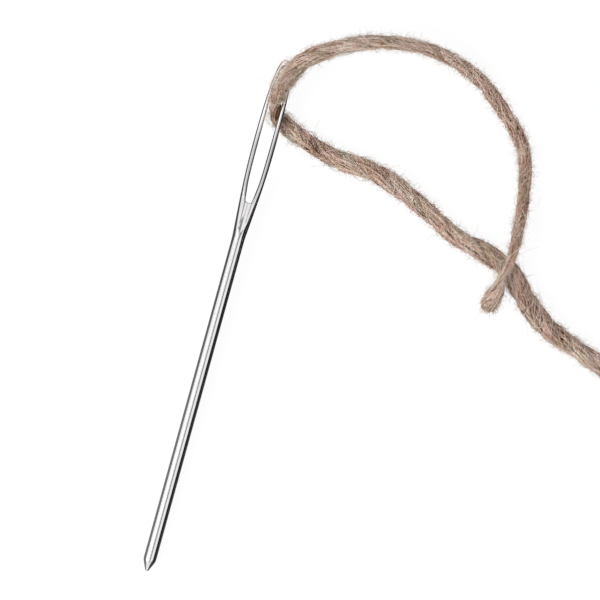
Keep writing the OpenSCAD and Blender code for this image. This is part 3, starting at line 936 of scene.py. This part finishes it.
tie_way = COIL_START + TIE_TURN
tie_out = Vector((math.cos(tie_way), math.sin(tie_way), 0))
tie_across = Vector((-tie_out.y, tie_out.x, 0))
pinched_r = TWINE_R * (1 - TIE_PINCH)
inner = COIL_R - COIL_PITCH * (TIE_TURN / math.tau + 2) - pinched_r
outer = COIL_R - COIL_PITCH * TIE_TURN / math.tau + pinched_r
middle = Vector((*COIL_MIDDLE, 0)) + Vector((0, EYE_AXIS.y, 0)) + tie_out * (inner + outer) / 2
half_w = (outer - inner) / 2 + THREAD_R * 0.8
half_h = TWINE_R * FLAT_SHARE * 0.9 + THREAD_R * 0.4
coil_height = TWINE_R * FLAT_SHARE
top = coil_height + half_h + THREAD_R * 1.2


def tie_point(along, across, up):
    p = middle + tie_out * along + tie_across * across
    return (p.x, p.y, up, THREAD_R)


path = []
for i in range(THREAD_TURNS * TURN_POINTS + 1):
    a = math.tau * i / TURN_POINTS + math.pi / 2
    c, d = math.cos(a), math.sin(a)
    along = half_w * math.copysign(abs(c) ** TIE_SQUARE[0], c)
    up = coil_height + half_h * math.copysign(abs(d) ** TIE_SQUARE[1], d)
    across = TIE_HALF * (2 * i / (THREAD_TURNS * TURN_POINTS) - 1)
    path.append(tie_point(along, across, max(up, THREAD_R)))
knot_path = [tie_point(a, b, top + c) for a, b, c in KNOT]
end_paths = [[knot_path[ENDS_FROM]] + [tie_point(a, b, top + c) for a, b, c in end] for end in ENDS]
print("the tie is", round(2 * half_w, 4), "m wide and", round(2 * half_h, 4), "m high")

# %% [markdown]
# The thread has two thin strands that turn round each other along each path.

# %% Two strands round each path
THREAD_LAY, THREAD_STEP = 0.0011, 0.0002
THREAD_SIDEWAYS = (0.3, 0.2, 1.0)
STRAND_R, STRAND_OUT, STRAND_FLOOR = THREAD_R * 0.58, 0.5, THREAD_R * 0.6


def add_thread(bundle, points):
    p = curve_through(points, 8)
    run = distances(p)
    s = np.linspace(0, run[-1], int(run[-1] / THREAD_STEP))
    at = resampled(p, run, s)[:, :3]
    _, side, up = carried(at, THREAD_SIDEWAYS)
    for strand in (0, 1):
        a = (math.tau * s / THREAD_LAY + math.pi * strand)[:, None]
        out = np.cos(a) * side + np.sin(a) * up
        size = np.full(len(s), STRAND_R)
        centre = at + out * THREAD_R * STRAND_OUT
        keep_above(centre, STRAND_FLOOR)
        bundle.add(around(centre, out, size, size, 6), 0.5)


bundle = Bundle()
for points in (path, knot_path, *end_paths):
    add_thread(bundle, points)
tie = bundle.piece("cotton_tie", cotton_finish)

# %% [markdown]
# ## The needle
# A yarn needle starts as a round wire. Its end is pressed flat, a long eye is punched through,
# and a short gutter is left below the eye, where the thread lies. Half of it is drawn as a chain
# of nine points round one side, which is extruded from station to station. A mirror makes it
# whole, and subdivision makes it round.

# %% Outline of the needle at each station, in millimetres from the point
NEEDLE_L, SHAFT_R = 91.2, 1.1
POINT_L, POINT_R = 1.9, 0.25
HEAD_Y, EYE_BOTTOM, EYE_TOP = 59.4, 65.8, 90.1
HEAD_R, HEAD_T = 2.0, 0.6
FLARE_L, THIN_L, SQUARE_L = 18.0, 12.0, 3.0
NOSE_Y, NOSE_L, NOSE_SQUARE = 74.0, 17.2, 3.0
INNER_NOSE_Y, INNER_NOSE_L = 83.6, 6.5
GUTTER_D, GUTTER_HALF = 0.45, 0.52
GUTTER_CREASE, GUTTER_RISE = 0.7, 0.27
CREST_W, SHOULDER_SHARE, SHOULDER_RISE, HEAD_SQUARE = 0.14, 0.72, 1.02, 0.7
CHAIN, CIRCLE_POINTS = 9, 16
ROUND_CAGE = 1.026
FLAT_CAGE = 1.06
WIRE_CAGE = 1.085
SIDE_CAGE = 1.07
ROOT_L = 2.6
NOSE_FACE = [(0, FLAT_CAGE), (0.3, FLAT_CAGE), (0.6, 1), (0.88, 0.7), (1, 0)]
EYE_HALF = 1.10
EYE_OUTLINE = [(EYE_BOTTOM, GUTTER_HALF), (66.3, 0.6), (67.1, 0.69), (69.7, 0.98), (72.3, 1.04),
               (74.9, 1.08), (77.4, EYE_HALF), (INNER_NOSE_Y, EYE_HALF)]


def smooth(u):
    u = min(max(u, 0.0), 1.0)
    return u * u * (3 - 2 * u)


def needle_half(y):
    """Half width and half thickness of the metal."""
    if y <= HEAD_Y:
        r = min(POINT_R + (SHAFT_R - POINT_R) * y / POINT_L, SHAFT_R)
        return r, r
    flare = math.sin(math.pi / 2 * min((min(y, NOSE_Y) - HEAD_Y) / FLARE_L, 1))
    nose = (1 - min(max((y - NOSE_Y) / NOSE_L, 0), 0.9999) ** NOSE_SQUARE) ** (1 / NOSE_SQUARE)
    wide = (SHAFT_R + (HEAD_R - SHAFT_R) * flare) * nose
    thick = (SHAFT_R + (HEAD_T - SHAFT_R) * smooth((y - HEAD_Y) / THIN_L)) * nose**0.2
    return wide, thick


def eye_half(y):
    """Half the clear width of the eye."""
    if y > INNER_NOSE_Y:
        return EYE_HALF * math.sqrt(max(1 - ((y - INNER_NOSE_Y) / INNER_NOSE_L) ** 2, 0))
    ys, halves = zip(*EYE_OUTLINE)
    return float(np.interp(y, ys, halves))


def quarter(y):
    """Five points from the middle of the top face out to the side, as distances out and up."""
    w, t = needle_half(y)
    if y <= HEAD_Y:
        return [(w * ROUND_CAGE * math.sin(a), w * ROUND_CAGE * math.cos(a))
                for a in (math.pi / 8 * i for i in range(5))]
    square = 2 + HEAD_SQUARE * smooth((y - HEAD_Y) / SQUARE_L)
    face = lambda x: t * (1 - min(x / w, 1) ** square) ** (1 / square) * FLAT_CAGE
    down = (y - HEAD_Y) / (EYE_BOTTOM - HEAD_Y)
    foot = GUTTER_HALF * (0.6 + 0.4 * down) if down < 1 else eye_half(y)
    crest = foot + CREST_W
    shoulder = crest + (w - crest) * SHOULDER_SHARE
    outside = [(crest, face(crest)), (shoulder, face(shoulder) * SHOULDER_RISE), (w * SIDE_CAGE, 0)]
    if y <= EYE_BOTTOM:
        floor_z = face(0) - GUTTER_D * smooth(down)
        return [(0, floor_z), (foot, floor_z + GUTTER_RISE * foot * smooth(down))] + outside
    if y <= EYE_TOP:
        middle, half = (w + foot) / 2, (w - foot) / 2
        wire = [(middle + half * WIRE_CAGE * math.cos(a), t * WIRE_CAGE * math.sin(a))
                for a in (math.tau * (4 - i) / CHAIN for i in range(5))]
        root = [(foot, t * 0.3), (foot + 0.02, t * 0.75)] + outside
        share = smooth((y - EYE_BOTTOM) / ROOT_L)
        return [(a + (c - a) * share, b + (d - b) * share) for (a, b), (c, d) in zip(root, wire)]
    return [(w * x, t * z) for x, z in NOSE_FACE]


def chain_at(y, mid_x=None):
    """Nine points round one side, from the top middle to the bottom middle."""
    q = quarter(y)
    if mid_x is not None:
        q[0] = (mid_x, q[0][1])
    return [(x, y, z) for x, z in q] + [(x, y, -z) for x, z in reversed(q[:-1])]


STATIONS = [(y, None) for y in (0, 0.12, 1.0, 1.72, 2.08, 2.6, 6, 12, 18, 24, 30, 36, 42, 48, 54,
                                57.5, 59.4, 60.4, 61.7, 63.0, 64.3, 65.2, 65.6)]
GUTTER_FIRST = STATIONS.index((60.4, None))
EYE_FIRST = len(STATIONS)
STATIONS += [(65.8, 0.0), (65.86, 0.38)]
STATIONS += [(y, None) for y in (66.0, 66.4, 67.1, 68.4, 69.7, 72.3, 74.9, 77.4, 79.5, 81.6,
                                 83.6, 85.2, 86.6, 87.9, 88.9, 89.5, 89.88)]
EYE_LAST = len(STATIONS)
STATIONS += [(90.1, 0.0)]
STATIONS += [(y, None) for y in (90.25, 90.5, 90.8, 91.05, 91.2)]
print(len(STATIONS), "stations along the needle")

# %% [markdown]
# The chain is extruded one station at a time, and each new chain is set to its own outline. An
# edit keeps no list of its points in order, so each is found again by its place.

# %% Extruding the half needle
def edge_between(cage, a, b):
    """The edge between two places in the cage."""
    near = lambda p: min(cage.verts, key=lambda v: (v.co - p).length_squared)
    return next(e for e in near(a).link_edges if e.other_vert(near(a)) is near(b))


for each in bpy.context.selected_objects:
    each.select_set(False)
bpy.ops.mesh.primitive_circle_add(vertices=CIRCLE_POINTS, radius=SHAFT_R,
                                rotation=(math.pi / 2, 0, 0))
needle = bpy.context.object
needle.name = "steel_needle"
bpy.ops.object.transform_apply(location=False, rotation=True, scale=False)
bpy.ops.object.mode_set(mode="EDIT")
bpy.ops.mesh.select_all(action="DESELECT")
cage = bmesh.from_edit_mesh(needle.data)
for v in cage.verts:
    v.select = v.co.x < -1e-5
bpy.ops.mesh.delete(type="VERT")
bpy.ops.mesh.select_all(action="SELECT")
chains = []
for y, mid_x in STATIONS:
    cage = bmesh.from_edit_mesh(needle.data)
    fresh = [v for v in cage.verts if v.select]
    if chains:
        chain = [min(fresh, key=lambda v: (v.co - p).length_squared) for p in chains[-1]]
    else:
        chain = sorted(fresh, key=lambda v: -v.co.z)
    chains.append([Vector(p) for p in chain_at(y, mid_x)])
    for v, p in zip(chain, chains[-1]):
        v.co = p
    if len(chains) in (1, len(STATIONS)):
        bpy.ops.mesh.edge_face_add()
        cage = bmesh.from_edit_mesh(needle.data)
        for face in cage.faces:
            face.select = False
        for a, b in zip(chains[-1], chains[-1][1:]):
            edge_between(cage, a, b).select = True
    if len(chains) < len(STATIONS):
        bpy.ops.mesh.extrude_edges_move()
print(len(chains), "chains of", CHAIN, "points")

# %% [markdown]
# The inner wall of the eye is a bridge between the two rows of edges that the chains leave open.
# The edges of the gutter get a crease, so that smoothing leaves them crisp.

# %% The wall of the eye and the edges of the gutter
def select_along(first, last, places):
    """Selects the edges that run along the needle at some places of its chains."""
    bpy.ops.mesh.select_all(action="DESELECT")
    cage = bmesh.from_edit_mesh(needle.data)
    for here, ahead in zip(chains[first:last], chains[first + 1:last + 1]):
        for i in places:
            edge_between(cage, here[i], ahead[i]).select = True


select_along(EYE_FIRST, EYE_LAST, (0, CHAIN - 1))
bpy.ops.mesh.bridge_edge_loops()
select_along(GUTTER_FIRST, EYE_FIRST, (0, 1, 2, CHAIN - 3, CHAIN - 2, CHAIN - 1))
bpy.ops.transform.edge_crease(value=GUTTER_CREASE)
bpy.ops.object.mode_set(mode="OBJECT")
print(len(needle.data.polygons), "faces in half of the cage")

# %% [markdown]
# Mirror and Subdivision Surface turn the cage into smooth metal. The needle is drawn along Y in
# millimetres, so last it is brought to metres, tilted by the twine under its eye, and put in its
# place.

# %% Smoothing the needle and laying it down
NEEDLE_LEVELS = 3
slide = next(j for j in frame["joints"] if j["name"] == "needle_slide")
TILT = math.atan2(slide["axis"][2], slide["axis"][1])
needle_at = Vector((0, -NEEDLE_L / 2 * math.cos(TILT),
                    SHAFT_R * math.cos(TILT) - POINT_L * math.sin(TILT)))


def apply_modifier(obj, kind, **values):
    modifier = obj.modifiers.new(kind.lower(), kind)
    for name, value in values.items():
        setattr(modifier, name, value)
    with bpy.context.temp_override(object=obj, active_object=obj):
        bpy.ops.object.modifier_apply(modifier=modifier.name)


apply_modifier(needle, "MIRROR", use_clip=True, merge_threshold=1e-4)
apply_modifier(needle, "SUBSURF", levels=NEEDLE_LEVELS, render_levels=NEEDLE_LEVELS)
bpy.ops.object.mode_set(mode="EDIT")
bpy.ops.mesh.select_all(action="SELECT")
bpy.ops.mesh.normals_make_consistent(inside=False)
bpy.ops.object.mode_set(mode="OBJECT")
bpy.ops.object.shade_smooth()
needle.scale = (MM, MM, MM)
needle.rotation_euler = (TILT, 0, 0)
needle.location = needle_at * MM
bpy.ops.object.transform_apply(location=True, rotation=True, scale=True)

# %% [markdown]
# ## Polished steel
# The needle is nickel-bright steel. Its finish is almost a mirror, but handling and polishing
# leave faint lines along it, and dull it unevenly. Both come from noise that is stretched along
# the needle. Its colour is a little darker towards the eye end, lighter near the eye as a painted
# highlight, and much darker on the right flank of the eye as painted shade.

# %% Steel material
STEEL, SMUDGED_STEEL = (0.80, 0.80, 0.81, 1), (0.72, 0.70, 0.70, 1)
LINES_STRETCH = (1.0, 0.02, 1.0)

steel_finish, tree = new_finish("polished_steel")
place = add_node(tree, "TexCoord").outputs["Object"]
along = add_node(tree, "SeparateXYZ", place).outputs
stretched = add_node(tree, "Mapping", Vector=place, Scale=LINES_STRETCH)
lines = noise(tree, stretched, 9000.0, 2.0, 0.5)
smudges = noise(tree, place, 260.0, 3.0, 0.6)
dull = ranged(tree, smudges, (0.3, 0.75), (0.07, 0.17))
# Darker towards the eye end; a painted highlight near the eye; painted shade on its right flank.
dimmer_toward_eye = ranged(tree, along["Y"], (0.018, 0.022), (1.0, 0.86))
painted_highlight_near_eye = ranged(tree, along["Y"], (0.030, 0.035), (0.0, 0.5))
painted_shade_right_flank = ranged(tree, along["X"], (0.0014, 0.0017), (1.0, 0.3))
shade = computed(tree, "MULTIPLY", computed(tree, "ADD", dimmer_toward_eye, painted_highlight_near_eye), painted_shade_right_flank)
tint = mixed(tree, smudges, STEEL, SMUDGED_STEEL)
steel = add_node(tree, "BsdfPrincipled", Base_Color=mixed(tree, 1.0, tint, shade, "MULTIPLY"),
                 Metallic=1.0, Roughness=dull, Normal=bumps(tree, lines, 0.06, 0.00001))
add_node(tree, "OutputMaterial", steel)
needle.data.materials.clear()
needle.data.materials.append(steel_finish)
print("steel finish", len(tree.nodes), "nodes")

# %% [markdown]
# ## Everything in the frame
# Each piece rides on the body that it moves with, and stands for the plain solids of the frame.

# %% Bodies of the pieces
NEEDLE_NODES = ("needle_shaft", "needle_throat", "eye_wire_right", "eye_wire_left", "eye_arch")
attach(needle, "needle")
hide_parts(*NEEDLE_NODES)
for piece in [twine, tail, tie, *twine_fibres, *tail_fibres]:
    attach(piece, "twine")
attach(bight, "bight")
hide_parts("twine_bight")
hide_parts("twine_run", "twine_coil")
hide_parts("twine_tail")
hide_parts("coil_tie")
